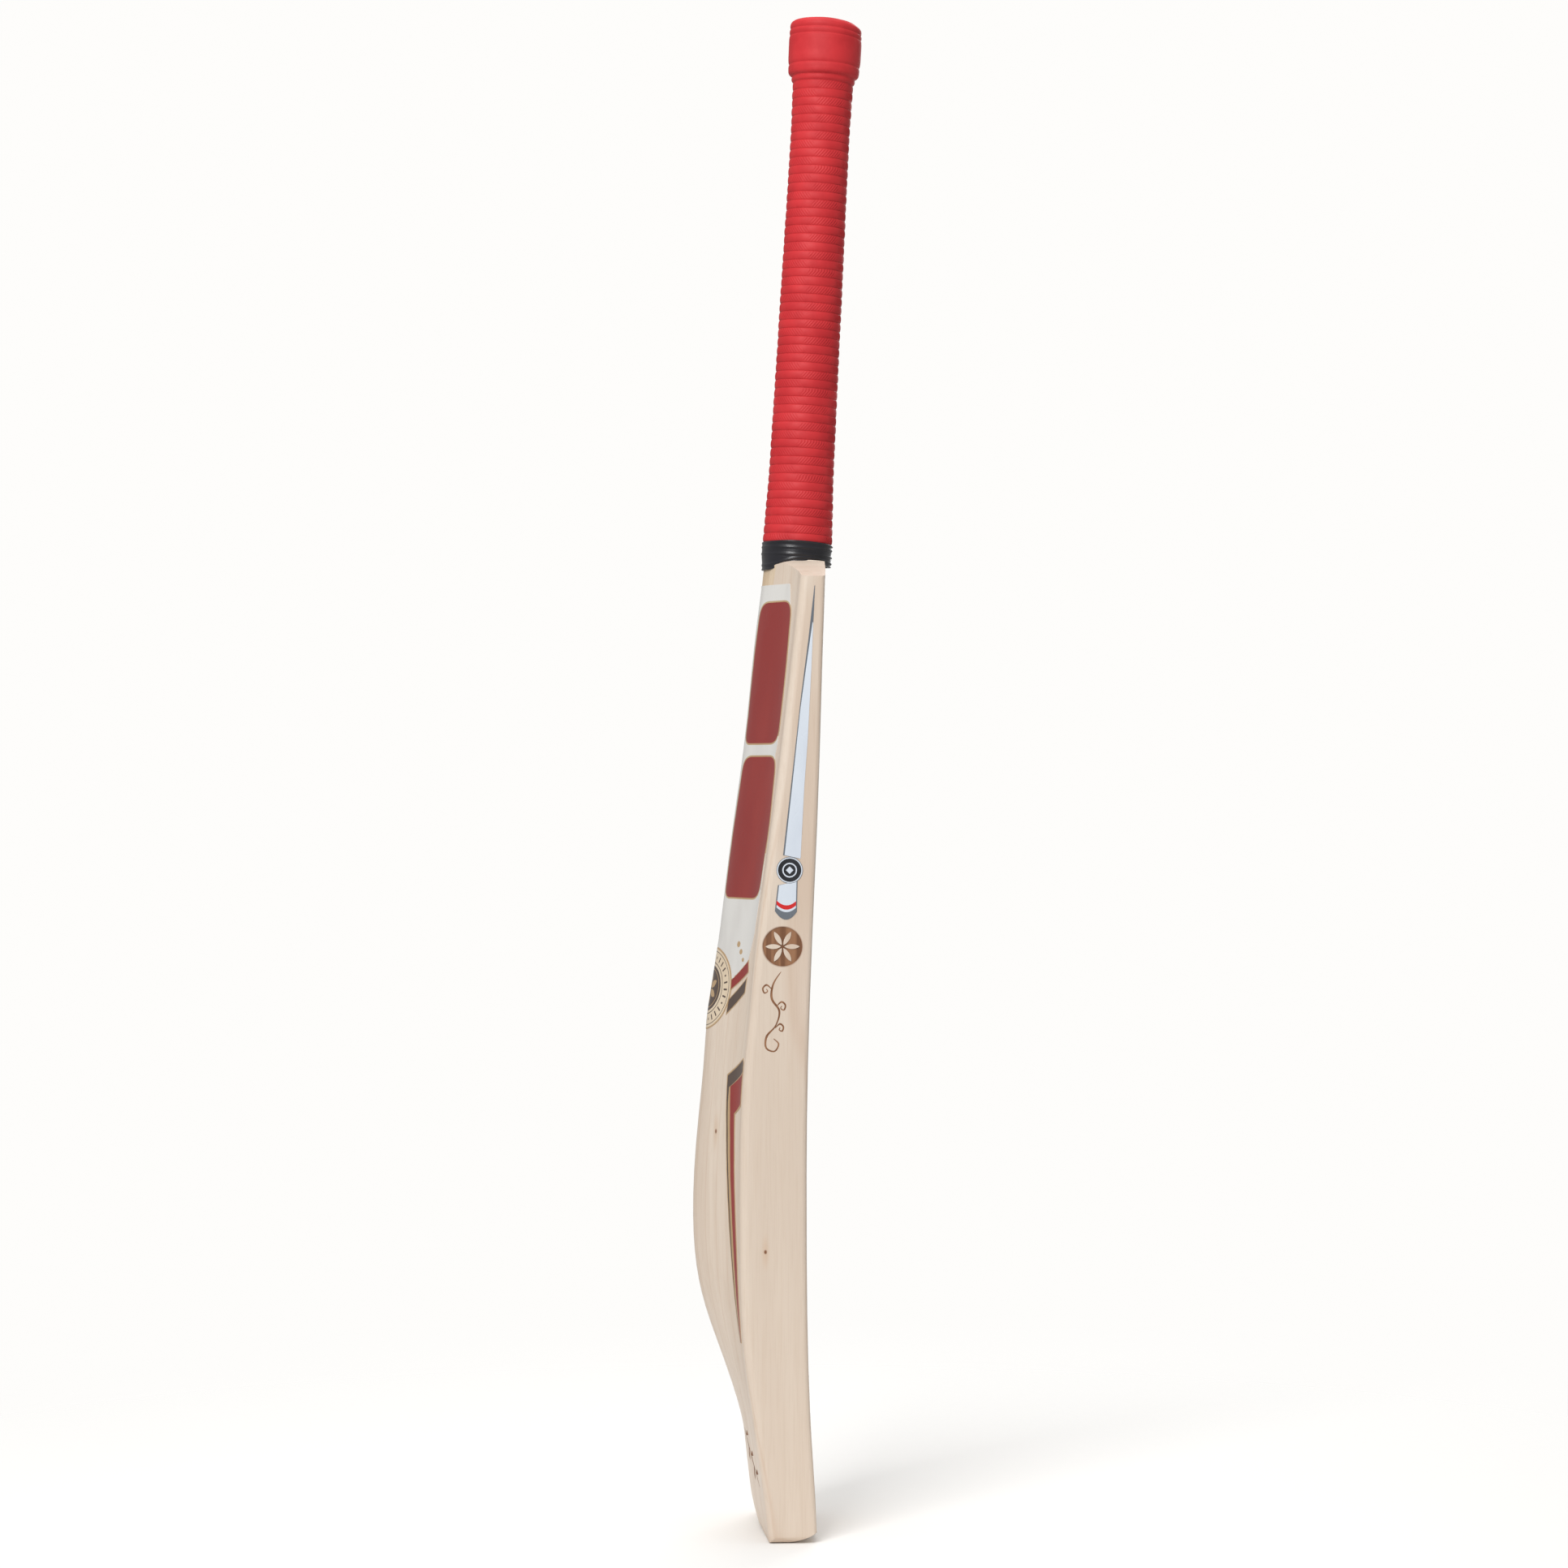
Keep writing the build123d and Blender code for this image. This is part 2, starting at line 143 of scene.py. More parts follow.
def willow():
    """Pale willow: grain lines across the width, fine fibres along the bat, knots and burnt marks."""
    wood = Surface("willow_wood", roughness=0.46, specular=0.42, coat=0.12, coat_roughness=0.28)
    x, y, z = wood.axes()
    drift = wood.noise(wood.scaled(9, 9, 2.2), detail=2)
    broad = wood.noise(wood.scaled(46, 30, 3.0), detail=3, distortion=0.4)
    streak = wood.noise(wood.scaled(260, 190, 7.0), detail=4, roughness=0.6)
    fibre = wood.noise(wood.scaled(1500, 1300, 34.0), detail=2)
    base = wood.mix(wood.step(broad, 0.36, 0.66), colour(224, 209, 193), colour(216, 199, 182))
    base = wood.mix(wood.step(drift, 0.48, 0.70, 0.0, 0.42), base, colour(218, 194, 180))
    base = wood.mix(wood.step(streak, 0.50, 0.74, 0.0, 0.30), base, colour(204, 182, 160))
    base = wood.mix(wood.step(fibre, 0.44, 0.75, 0.0, 0.20), base, colour(196, 172, 150))

    warp = wood.maths("MULTIPLY", wood.maths("SUBTRACT", drift, 0.5), 2.3)
    ring = wood.maths("ADD", wood.maths("MULTIPLY", x, 104.0), warp)
    ring = wood.maths("ABSOLUTE", wood.maths("SUBTRACT", wood.maths("FRACT", ring), 0.5))
    line = wood.step(ring, 0.0, 0.075, 1.0, 0.0)
    base = wood.mix(wood.maths("MULTIPLY", line, 0.20), base, colour(186, 148, 116))

    for place, size in KNOTS:
        knot = wood.step(wood.distance(place, (1, 1, 0.7)), size * 0.45, size * 1.25, 1.0, 0.0)
        halo = wood.step(wood.distance(place, (1, 1, 0.22)), 0.0, size * 3.2, 0.5, 0.0)
        base = wood.mix(halo, base, colour(205, 172, 142))
        base = wood.mix(knot, base, colour(128, 84, 56))

    inset = wood.step(wood.maths("ABSOLUTE", x), (EDGE_X - 0.30) * MM, (EDGE_X - 0.14) * MM, 1.0, 0.0)
    inside = wood.step(wood.distance(MARK_PLACE, (0, 1, 1)), MARK_RADIUS * MM,
                       (MARK_RADIUS + 0.25) * MM, 1.0, 0.0)
    outer = wood.step(wood.maths("ABSOLUTE", x), 0.045, 0.048)
    burnt = wood.maths("MULTIPLY", wood.maths("MULTIPLY", inset, inside), outer)
    scorch = wood.mix(wood.step(streak, 0.42, 0.62), colour(118, 78, 52), colour(156, 112, 80))
    base = wood.mix(burnt, base, scorch)
    rim = wood.step(wood.maths("ABSOLUTE", wood.maths("SUBTRACT", wood.distance(MARK_PLACE, (0, 1, 1)),
                                                      (MARK_RADIUS + 0.1) * MM)), 0.0, 0.7 * MM, 0.5, 0.0)
    base = wood.mix(wood.maths("MULTIPLY", rim, outer), base, colour(140, 98, 70))

    toe = wood.step(z, 0.0, 0.006, 0.30, 0.0)
    base = wood.mix(toe, base, colour(190, 160, 132))
    wood.set("Base Color", base)
    wood.set("Roughness", wood.step(streak, 0.3, 0.7, 0.41, 0.54))
    relief = wood.maths("ADD", wood.maths("MULTIPLY", fibre, 0.7), wood.maths("MULTIPLY", line, -0.35))
    wood.set("Normal", wood.bump(relief, 0.00012, 0.34))
    return wood.material


def cane():
    """Split cane: straighter and yellower than the blade, with dark vessel lines."""
    wood = Surface("handle_cane", roughness=0.5, specular=0.4, coat=0.1, coat_roughness=0.3)
    broad = wood.noise(wood.scaled(120, 120, 4.0), detail=3)
    vessel = wood.noise(wood.scaled(1900, 1900, 16.0), detail=2)
    base = wood.mix(wood.step(broad, 0.35, 0.65), colour(220, 200, 174), colour(208, 184, 154))
    base = wood.mix(wood.step(vessel, 0.52, 0.70, 0.0, 0.34), base, colour(166, 132, 96))
    wood.set("Base Color", base)
    wood.set("Normal", wood.bump(vessel, 0.00012, 0.5))
    return wood.material


def rubber(name, light, dark, roughness, grain, coat=0.0, relief=0.00006):
    """Moulded rubber: a slight mottle in its colour and gloss, over a fine skin."""
    skin = Surface(name, roughness=roughness, specular=0.35, coat=coat, coat_roughness=0.16)
    mottle = skin.noise(skin.scaled(60, 60, 60), detail=4)
    fine = skin.noise(skin.scaled(grain, grain, grain), detail=3)
    skin.set("Base Color", skin.mix(skin.step(mottle, 0.35, 0.68), light, dark))
    skin.set("Roughness", skin.step(mottle, 0.3, 0.7, roughness - 0.05, roughness + 0.07))
    skin.set("Normal", skin.bump(fine, relief, 0.5))
    return skin.material


def film(name, ink, worn, roughness=0.32, speck=0.16):
    """Printed film: ink with a faint dot texture and soft handling marks under a thin gloss."""
    print_ = Surface(name, roughness=roughness, specular=0.5, coat=0.25, coat_roughness=0.12)
    cloud = print_.noise(print_.scaled(55, 55, 16), detail=3)
    dots = print_.noise(print_.scaled(1700, 1700, 1700), detail=1)
    base = print_.mix(print_.step(cloud, 0.4, 0.75, 0.0, 0.75), ink, worn)
    base = print_.mix(print_.step(dots, 0.56, 0.72, 0.0, speck), base, worn)
    print_.set("Base Color", base)
    print_.set("Roughness", print_.step(cloud, 0.3, 0.7, roughness - 0.05, roughness + 0.08))
    print_.set("Normal", print_.bump(dots, 0.00002, 0.25))
    return print_.material


def twine():
    """Waxed thread, wound in close turns, its colour darkened into the groove between turns as painted shade."""
    thread = Surface("waxed_thread", roughness=0.6)
    turns = thread.node("ShaderNodeTexWave", {"Vector": thread.place, "Scale": 260.0, "Distortion": 0.6},
                        bands_direction="Z").outputs["Fac"]
    # Painted shade: the colour goes dark in each groove between turns, following the same waves as the bump.
    thread.set("Base Color", thread.mix(turns, colour(58, 50, 42), colour(120, 104, 82)))
    thread.set("Normal", thread.bump(turns, 0.0003, 0.8))
    return thread.material


def burnt_wood():
    """Scorched strokes, darker where the grain is denser."""
    wood = Surface("burnt_wood", roughness=0.7, specular=0.25)
    char = wood.noise(wood.scaled(700, 700, 120), detail=3)
    wood.set("Base Color", wood.mix(wood.step(char, 0.35, 0.68), colour(122, 82, 56), colour(158, 116, 86)))
    return wood.material


# --- Mesh helpers ------------------------------------------------------------------------------

def new_mesh(name, vertices, faces, materials, slots=None, normals=None):
    mesh = bpy.data.meshes.new(name)
    mesh.from_pydata([tuple(v) for v in vertices], [], [tuple(f) for f in faces])
    for material in materials:
        mesh.materials.append(material)
    if slots is not None:
        mesh.polygons.foreach_set("material_index", slots)
    mesh.polygons.foreach_set("use_smooth", [True] * len(mesh.polygons))
    if normals is not None:
        mesh.normals_split_custom_set_from_vertices([tuple(n) for n in normals])
    piece = bpy.data.objects.new(name, mesh)
    bpy.context.scene.collection.objects.link(piece)
    return piece


def from_handle(points):
    """World places, in metres, of points in millimetres on the handle's own axes."""
    turn = np.array(HANDLE)
    return points * MM @ turn[:3, :3].T + turn[:3, 3]


def rings(name, points, materials, closed_top=False):
    """Mesh from an array of rings, rows by places round by three, in the handle's millimetres."""
    rows, around, _ = points.shape
    index = np.arange(rows * around).reshape(rows, around)
    following = np.roll(index, -1, axis=1)
    quads = np.stack([index[:-1], following[:-1], following[1:], index[1:]], axis=-1).reshape(-1, 4)
    faces = quads.tolist()
    if closed_top:
        faces.append(index[-1].tolist())
    return new_mesh(name, from_handle(points.reshape(-1, 3)), faces, materials)


def finish_piece(piece, slot, *nodes):
    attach(piece, "root")
    if nodes:
        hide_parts(*nodes)
    return piece


# --- Grip, collar and cap ----------------------------------------------------------------------

# Height on the handle, half breadth and half depth of the grip's crests.
GRIP_FORM = np.array([(9, 17.6, 18.3), (12.6, 17.9, 18.7), (14.2, 18.65, 19.45), (27, 18.3, 19.0),
                      (41, 17.9, 18.55), (55, 17.6, 18.1), (82, 17.2, 17.9), (123, 17.0, 17.45),
                      (163, 16.8, 17.2), (204, 16.6, 16.75), (245, 16.5, 16.5), (259, 16.8, 16.8), (270, 17.0, 17.0)])
RIB_FOOT = 9.0
RIB_END = 270.6
RIB_COUNT = 55
RIB_HEIGHT = 0.68
RIB_ROWS = [0.0, 0.035, 0.09, 0.18, 0.28, 0.39, 0.5, 0.61, 0.72, 0.82, 0.91, 0.965]
LEAF_SPACING = 1.7
LEAF_DEPTH = 0.36
LEAF_SLANT = 0.85
LEAF_CENTRE = math.radians(195.5)
# Profile of the head: height on the handle and radius, from its foot over the lip and into the mouth.
HEAD_FORM = [(270.9, 17.3), (271.6, 17.75), (272.7, 17.85), (273.4, 17.6), (273.9, 17.7), (274.6, 18.9),
             (275.4, 19.6), (276.6, 19.85), (278.8, 19.95), (279.8, 19.8), (280.2, 19.4), (280.7, 19.8),
             (281.8, 20.1), (284.0, 20.25), (290.0, 20.3), (294.0, 20.3), (295.9, 20.15), (296.4, 19.65),
             (296.9, 19.95), (298.2, 20.2), (299.4, 20.05), (299.9, 19.5), (300.4, 19.8), (301.6, 20.0),
             (303.0, 19.8), (304.0, 19.2), (304.8, 18.2), (305.2, 17.0), (305.3, 15.8), (305.25, 14.8),
             (305.0, 13.9), (304.5, 13.3), (303.7, 13.05), (303.1, 13.0)]
# The head's rings sag on the face side, most near the lip.
MOUTH_RADIUS = 14
HEAD_SAG = [(276, 0), (288, 0.3), (296, 0.9), (300, 1.7), (305, 2.3)]
AROUND = 512


def build_grip(material):
    """Ribbed rubber sleeve: rounded ribs with slanting leaf grooves, and a thick head with plain bands."""
    chance = random.Random(11)
    theta = np.linspace(0, TAU, AROUND, endpoint=False)
    rows = []
    pitch = (RIB_END - RIB_FOOT) / RIB_COUNT
    for k in range(RIB_COUNT):
        lean, turn = chance.uniform(0.05, 0.22), chance.uniform(0, TAU)
        rise = chance.uniform(0.88, 1.1)
        for share in RIB_ROWS:
            level = RIB_FOOT + (k + share) * pitch
            height = level + lean * np.sin(theta + turn)
            rounding = abs(math.sin(math.pi * share)) ** 0.42
            half_x = np.interp(level, GRIP_FORM[:, 0], GRIP_FORM[:, 1])
            half_y = np.interp(level, GRIP_FORM[:, 0], GRIP_FORM[:, 2])
            sink = RIB_HEIGHT * (1 - rounding * rise)
            side = 1 if k % 2 == 0 else -1
            reach = side * np.cos(3 * (theta - LEAF_CENTRE))
            leaf = np.clip(reach * 2.4 + 0.15, 0, 1) * np.clip(rounding * 1.5 - 0.5, 0, 1)
            turns = round(half_y * TAU / LEAF_SPACING)
            phase = turns * theta - side * TAU * share * pitch * LEAF_SLANT / LEAF_SPACING
            groove = (0.5 + 0.5 * np.cos(phase)) ** 1.5
            radius_cut = sink + LEAF_DEPTH * leaf * groove
            rows.append(np.stack([(half_x - radius_cut) * np.cos(theta),
                                  (half_y - radius_cut) * np.sin(theta), height], axis=-1))
    head = np.array(HEAD_FORM)
    run = np.concatenate([[0], np.cumsum(np.hypot(*np.diff(head, axis=0).T))])
    fine = np.linspace(0, run[-1], int(run[-1] / 0.28))
    levels, radii = np.interp(fine, run, head[:, 0]), np.interp(fine, run, head[:, 1])
    kernel = np.array([1, 2, 1]) / 4
    for _ in range(2):
        levels[1:-1] = np.convolve(levels, kernel, mode="valid")
        radii[1:-1] = np.convolve(radii, kernel, mode="valid")
    towards_face = np.clip((0.15 - np.sin(theta)) / 1.15, 0, 1) ** 1.6
    for level, radius in zip(levels, radii):
        wobble = 0.10 * np.sin(2 * theta + 0.7 + level * 0.05) + 0.05 * np.sin(5 * theta + level * 0.21)
        radius = radius + wobble * min(1.0, max(0.0, (radius - 13.2) / 4))
        fade = min(1.0, max(0.0, (radius.mean() - MOUTH_RADIUS) / 4))
        sag = np.interp(level, *np.array(HEAD_SAG).T) * towards_face * fade
        rows.append(np.stack([radius * np.cos(theta), radius * np.sin(theta), level - sag], axis=-1))
    grip = rings("grip_sleeve", np.array(rows), [material])
    return finish_piece(grip, "grip_rubber", "grip")


# Lower rim of the collar: place from back (-1) to face (1), and height on the handle.
RIM = np.array([(-1, -2.2), (-0.97, -2.2), (-0.83, -2.0), (-0.67, -1.25), (-0.5, 0.0), (-0.33, 1.4),
                (-0.16, 2.6), (0.02, 3.15), (0.2, 3.45), (0.38, 3.5), (0.56, 3.1), (0.71, 2.5),
                (0.8, 2.0), (0.9, 1.5), (1, 1.3)])


def build_collar(material):
    """Glossy band with two raised ridges, a fold above its waved lower lip, and rolled ends."""
    theta = np.linspace(0, TAU, 256, endpoint=False)
    towards_face = -np.sin(theta)
    rim = np.interp(towards_face, RIM[:, 0], RIM[:, 1])
    for _ in range(4):
        rim = (np.roll(rim, 1) + 2 * rim + np.roll(rim, -1)) / 4
    top = 14.6 - 1.2 * towards_face ** 2
    rows = []
    for t in [-0.03, -0.01, *np.linspace(0, 1, 72), 1.01, 1.03]:
        height = top + (rim - top) * min(max(t, 0), 1)
        base = 19.5 - 0.55 * np.clip((5.0 - height) / 5.0, 0, 1)
        ridge = 0.34 * (np.exp(-((height - 10.7) / 0.62) ** 2) + np.exp(-((height - 6.9) / 0.62) ** 2))
        fold = 0.42 * math.exp(-((t - 0.83) / 0.05) ** 2) + 0.30 * math.exp(-((t - 0.975) / 0.03) ** 2)
        cuff = 0.36 * math.exp(-((t - 0.04) / 0.045) ** 2)
        ripple = 0.07 * np.sin(3 * theta + 9 * t) + 0.04 * np.sin(7 * theta - 13 * t)
        end = 0.9 * (abs(t - 0.5) > 0.505) + 0.9 * (abs(t - 0.5) > 0.52)
        grow = ridge + fold + cuff + ripple * (0 < t < 1) - end
        rows.append(np.stack([(base + 0.1 + grow) * np.cos(theta), (base + grow) * np.sin(theta), height],
                             axis=-1))
    collar = rings("collar_band", np.array(rows)[::-1], [material])
    return finish_piece(collar, "black_rubber", "shoulder_collar")


def build_cap(material):
    """Domed disc with a rounded edge and two shallow rings moulded in it."""
    theta = np.linspace(0, TAU, 128, endpoint=False)
    profile = [(12.85, 303.1), (12.85, 304.3), (12.7, 304.75), (12.3, 304.98), (11.6, 305.12), (10.6, 305.32),
               (10.2, 305.22), (9.9, 305.18), (9.6, 305.42), (8.0, 305.82), (6.0, 306.1), (5.6, 306.0),
               (5.3, 305.98), (5.0, 306.2), (3.0, 306.34), (1.2, 306.4), (0.3, 306.4)]
    rows = [np.stack([r * np.cos(theta), r * np.sin(theta), np.full(128, s)], axis=-1) for r, s in profile]
    cap = rings("end_disc", np.array(rows), [material], closed_top=True)
    return finish_piece(cap, "black_rubber", "end_cap")


# --- Films laid on the blade -------------------------------------------------------------------

class Ground:
    """The blade's and canes' own surface: where a ray meets it, and its smooth normal there."""

    def __init__(self, names):
        vertices, self.faces, self.normals = [], [], []
        for name in names:
            mesh = frame["nodes"][name].data
            start = len(vertices)
            vertices += [v.co.copy() for v in mesh.vertices]
            corners = mesh.corner_normals
            for face in mesh.polygons:
                self.faces.append([start + i for i in face.vertices])
                self.normals.append([corners[i].vector.copy() for i in face.loop_indices])
        self.vertices = vertices
        self.tree = BVHTree.FromPolygons(vertices, self.faces)

    def meet(self, origin, direction):
        place, flat, index, _ = self.tree.ray_cast(origin, direction)
        if place is None:
            return None
        corners = [self.vertices[i] for i in self.faces[index]]
        weights = []
        for i in range(3):
            a, b = corners[(i + 1) % 3], corners[(i + 2) % 3]
            weights.append((a - place).cross(b - place).length)
        total = sum(weights) or 1.0
        normal = Vector((0, 0, 0))
        for weight, corner in zip(weights, self.normals[index]):
            normal += corner * (weight / total)
        return place, normal.normalized()


def circle(centre, radius):
    steps = int(60 * max(1.0, radius / 8))
    turns = [math.radians(360 * i / steps) for i in range(steps)]
    return [(centre[0] + radius * math.cos(t), centre[1] + radius * math.sin(t)) for t in turns]


def bowed(start, end, rise, steps=12):
    """Points of a shallow arc between two points, with its middle raised."""
    made = []
    for i in range(steps + 1):
        t = i / steps
        lifted = rise * 4 * t * (1 - t)
        made.append((start[0] + (end[0] - start[0]) * t, start[1] + (end[1] - start[1]) * t + lifted))
    return made


def inset(points, depth):
    """Outline moved inwards by depth; the points go round anticlockwise."""
    moved = []
    for i, here in enumerate(points):
        before, after = Vector(points[i - 1]), Vector(points[(i + 1) % len(points)])
        into = (Vector(here) - before).normalized()
        out = (after - Vector(here)).normalized()
        left = Vector((-into.y, into.x))
        right = Vector((-out.y, out.x))
        bisector = (left + right).normalized()
        moved.append(tuple(Vector(here) + bisector * (depth / max(0.3, bisector.dot(left)))))
    return moved


def rounded(points, radii, steps=8):
    """Outline with each corner rounded by its own radius, or all by one."""
    if not hasattr(radii, "__len__"):
        radii = [radii] * len(points)
    made = []
    for i, (here, radius) in enumerate(zip(points, radii)):
        corner, before, after = Vector(here), Vector(points[i - 1]), Vector(points[(i + 1) % len(points)])
        back, on = (before - corner).normalized(), (after - corner).normalized()
        angle = back.angle(on)
        reach = radius / math.tan(angle / 2) if radius else 0
        reach = min(reach, 0.49 * (before - corner).length, 0.49 * (after - corner).length)
        if reach < 1e-4:
            made.append(tuple(corner))
            continue
        first, last = corner + back * reach, corner + on * reach
        for step in range(steps + 1):
            t = step / steps
            made.append(tuple(first * (1 - t) ** 2 + corner * 2 * t * (1 - t) + last * t * t))
    return made


def flipped(points):
    return [(-x, z) for x, z in reversed(points)]


def area(points):
    return sum(a[0] * b[1] - b[0] * a[1] for a, b in zip(points, points[1:] + points[:1])) / 2


def anticlockwise(points):
    return points if area(points) > 0 else points[::-1]


def inside(point, outline):
    x, y = point
    within = False
    for (x0, y0), (x1, y1) in zip(outline, outline[1:] + outline[:1]):
        if (y0 > y) != (y1 > y) and x < (x1 - x0) * (y - y0) / (y1 - y0) + x0:
            within = not within
    return within


def divided(outline, longest=2.0):
    """The outline with long runs cut into shorter ones, so that it follows a curved surface."""
    made = []
    for a, b in zip(outline, outline[1:] + outline[:1]):
        count = max(1, math.ceil(math.dist(a, b) / longest))
        made += [(a[0] + (b[0] - a[0]) * i / count, a[1] + (b[1] - a[1]) * i / count) for i in range(count)]
    return made


FILM_LIFT = 0.2
SKIRT_DEPTH = FILM_LIFT + 0.12


def build_film(name, regions, meet, grid=3.0):
    """Thin film on the blade. A region is an ink's index, or None for bare, and an outline, last on top."""
    regions = [(slot, divided(anticlockwise(list(outline)))) for slot, outline in regions]
    points, edges = [], []
    for _, outline in regions:
        start = len(points)
        points += [Vector(p) for p in outline]
        edges += [(start + i, start + (i + 1) % len(outline)) for i in range(len(outline))]
    low = [min(p[i] for p in points) for i in (0, 1)]
    high = [max(p[i] for p in points) for i in (0, 1)]
    for i in range(int((high[0] - low[0]) / grid) + 1):
        for j in range(int((high[1] - low[1]) / grid) + 1):
            points.append(Vector((low[0] + (i + 0.5) * grid, low[1] + (j + 0.5) * grid)))
    flat, _, triangles, *_ = delaunay_2d_cdt(points, edges, [], 0, 1e-5)
    faces, slots = [], []
    for triangle in triangles:
        middle = sum((flat[i] for i in triangle), Vector((0, 0))) / 3
        found = None
        for slot, outline in regions:
            if inside(middle, outline):
                found = slot
        if found is not None:
            faces.append(list(triangle))
            slots.append(found)
    used = sorted({i for face in faces for i in face})
    order = {old: new for new, old in enumerate(used)}
    vertices, normals = [], []
    for i in used:
        place, normal = meet(flat[i])
        vertices.append(place + normal * FILM_LIFT * MM)
        normals.append(normal)
    faces = [[order[i] for i in face] for face in faces]
    first = faces[0]
    facing = (vertices[first[1]] - vertices[first[0]]).cross(vertices[first[2]] - vertices[first[0]])
    if facing.dot(normals[first[0]]) < 0:
        faces = [face[::-1] for face in faces]
    once = {}
    for face, slot in zip(faces, slots):
        for a, b in zip(face, face[1:] + face[:1]):
            if (b, a) in once:
                del once[(b, a)]
            else:
                once[(a, b)] = slot
    for (a, b), slot in once.items():
        out = (vertices[b] - vertices[a]).cross(normals[a]).normalized()
        start = len(vertices)
        for i, depth in ((a, 0), (a, 1), (b, 1), (b, 0)):
            vertices.append(vertices[i] - normals[i] * SKIRT_DEPTH * MM * depth)
            normals.append(out)
        faces.append([start, start + 1, start + 2, start + 3])
        slots.append(slot)
    return new_mesh(name, vertices, faces, INKS, slots, normals)


def meet_back(place):
    x, z = place
    return GROUND.meet(Vector((x * MM, 0.3, z * MM)), Vector((0, -1, 0)))


# The edges' artwork is drawn a little large and laid on at this scale.
EDGE_SCALE = 0.9886


def meet_edge(side):
    def meet(place):
        y, z = place[0] * EDGE_SCALE, place[1] * EDGE_SCALE
        return GROUND.meet(Vector((side * 0.3, y * MM, z * MM)), Vector((-side, 0, 0)))

    return meet


WHITE, RED, TAN, DARK, CREAM, PALE, BLACK, GREY, BRIGHT = range(9)


def panel(low, high, shape):
    """Corners and corner radii of a tall panel beside the spine, on the side where x is positive."""
    bottom_x, middle_x, top_x = shape
    middle = (low + high) / 2
    points = [(3.2, low), (bottom_x, low), (middle_x, middle), (top_x, high), (4.6, high), (3.4, middle)]
    return points, [6, 9, 60, 9, 9, 60]


def build_back_label():
    """White printed panel with four plain brick-red panels."""
    right = [(32.8, 530.4), (35.9, 516.3), (35.2, 493.8), (37.2, 466.7), (39.6, 440.9), (38.1, 434.7),
             (43.0, 403.6), (44.0, 367.6), (43.9, 355.0), (42.7, 336.1), (37.6, 320.6), (21.8, 309.1)]
    outline = right + [(-x, z) for x, z in reversed(right)]
    regions = [(WHITE, rounded(outline, 2.0, 4))]
    for low, high, shape in [(441.6, 520.4, (39.4, 38.6, 36.4)), (355.4, 434.0, (41.6, 43.4, 39.6))]:
        points, radii = panel(low, high, shape)
        for side in (1, -1):
            body = [(side * x, z) for x, z in rounded(points, radii, 10)]
            regions += [(TAN, inset(anticlockwise(body), -0.9)), (RED, body)]
    for x, z, radius in [(28.5, 325.4, 1.5), (31.5, 321.0, 1.2), (25.2, 329.5, 1.7)]:
        regions += [(TAN, circle((x, z), radius)), (TAN, circle((-x, z), radius))]
    regions.append((None, circle((0, EMBLEM_Z), 23.3)))
    piece = build_film("back_panel", regions, meet_back)
    return finish_piece(piece, "printed_film", "back_label")


def build_emblem():
    """Round sticker: a ring of plain bars and dots round a dark disc with a six-petal rosette."""
    centre = (0, EMBLEM_Z)
    regions = [(TAN, circle(centre, 22.9)), (CREAM, circle(centre, 22.1)), (DARK, circle(centre, 20.9)),
               (CREAM, circle(centre, 20.5)), (DARK, circle(centre, 14.6)), (CREAM, circle(centre, 14.1)),
               (DARK, circle(centre, 12.7)), (TAN, circle(centre, 11.0)), (DARK, circle(centre, 10.6))]
    for i in range(28):
        turn = math.radians(i * 360 / 28)
        across = Vector((-math.sin(turn), math.cos(turn)))
        out = Vector((math.cos(turn), math.sin(turn)))
        inner, outer = (16.0, 19.2) if i % 4 else (16.9, 18.3)
        ends = [Vector(centre) + out * inner, Vector(centre) + out * outer]
        bar = [ends[0] + across * 0.5, ends[0] - across * 0.5, ends[1] - across * 0.5, ends[1] + across * 0.5]
        regions.append((DARK, [tuple(p) for p in bar]))
    for i in range(6):
        turn = math.radians(30 + i * 60)
        tip = Vector((math.cos(turn), math.sin(turn)))
        across = Vector((-tip.y, tip.x))
        sides = [(0.8, 0), (3.2, 1.5), (5.6, 1.9), (7.6, 1.2), (9.0, 0), (7.6, -1.2), (5.6, -1.9), (3.2, -1.5)]
        petal = [tuple(Vector(centre) + tip * along + across * off) for along, off in sides]
        regions.append((TAN, rounded(petal, 1.0, 4)))
    piece = build_film("back_roundel", regions, meet_back, grid=2.0)
    return finish_piece(piece, "brown_film", "back_emblem")


def build_chevrons():
    """A red bar and a dark bar slanting out from each side of the emblem."""
    red = [(22.2, 303.8), (39.4, 314.6), (38.2, 320.6), (21.8, 308.9)]
    dark = [(21.6, 290.8), (37.4, 303.2), (38.2, 310.8), (22.2, 298.4)]
    regions = []
    for slot, bar in ((RED, red), (DARK, dark)):
        for turned in (bar, flipped(bar)):
            turned = anticlockwise(turned)
            regions += [(TAN, inset(turned, -0.45)), (slot, turned)]
    regions.append((None, circle((0, EMBLEM_Z), 23.1)))
    piece = build_film("back_bars", regions, meet_back, grid=2.5)
    return finish_piece(piece, "brown_film", "back_chevrons")


# Long stripe: height, then the distances of the dark line's and the red band's two sides.
STRIPE = [(251.0, 28.2, 29.5, 31.6, 46.4), (241.5, 28.9, 30.2, 32.4, 46.4), (236.0, 29.4, 30.6, 33.0, 37.4),
          (222.6, 30.8, 31.9, 34.2, 38.4), (200.8, 32.6, 33.6, 35.8, 39.6), (178.2, 34.6, 35.5, 37.7, 41.2),
          (156.3, 36.6, 37.4, 39.4, 42.8), (133.8, 38.8, 39.5, 41.2, 44.3), (117.0, 40.9, 41.4, 42.6, 44.6),
          (109.4, 42.2, 42.5, 43.0, 44.0)]


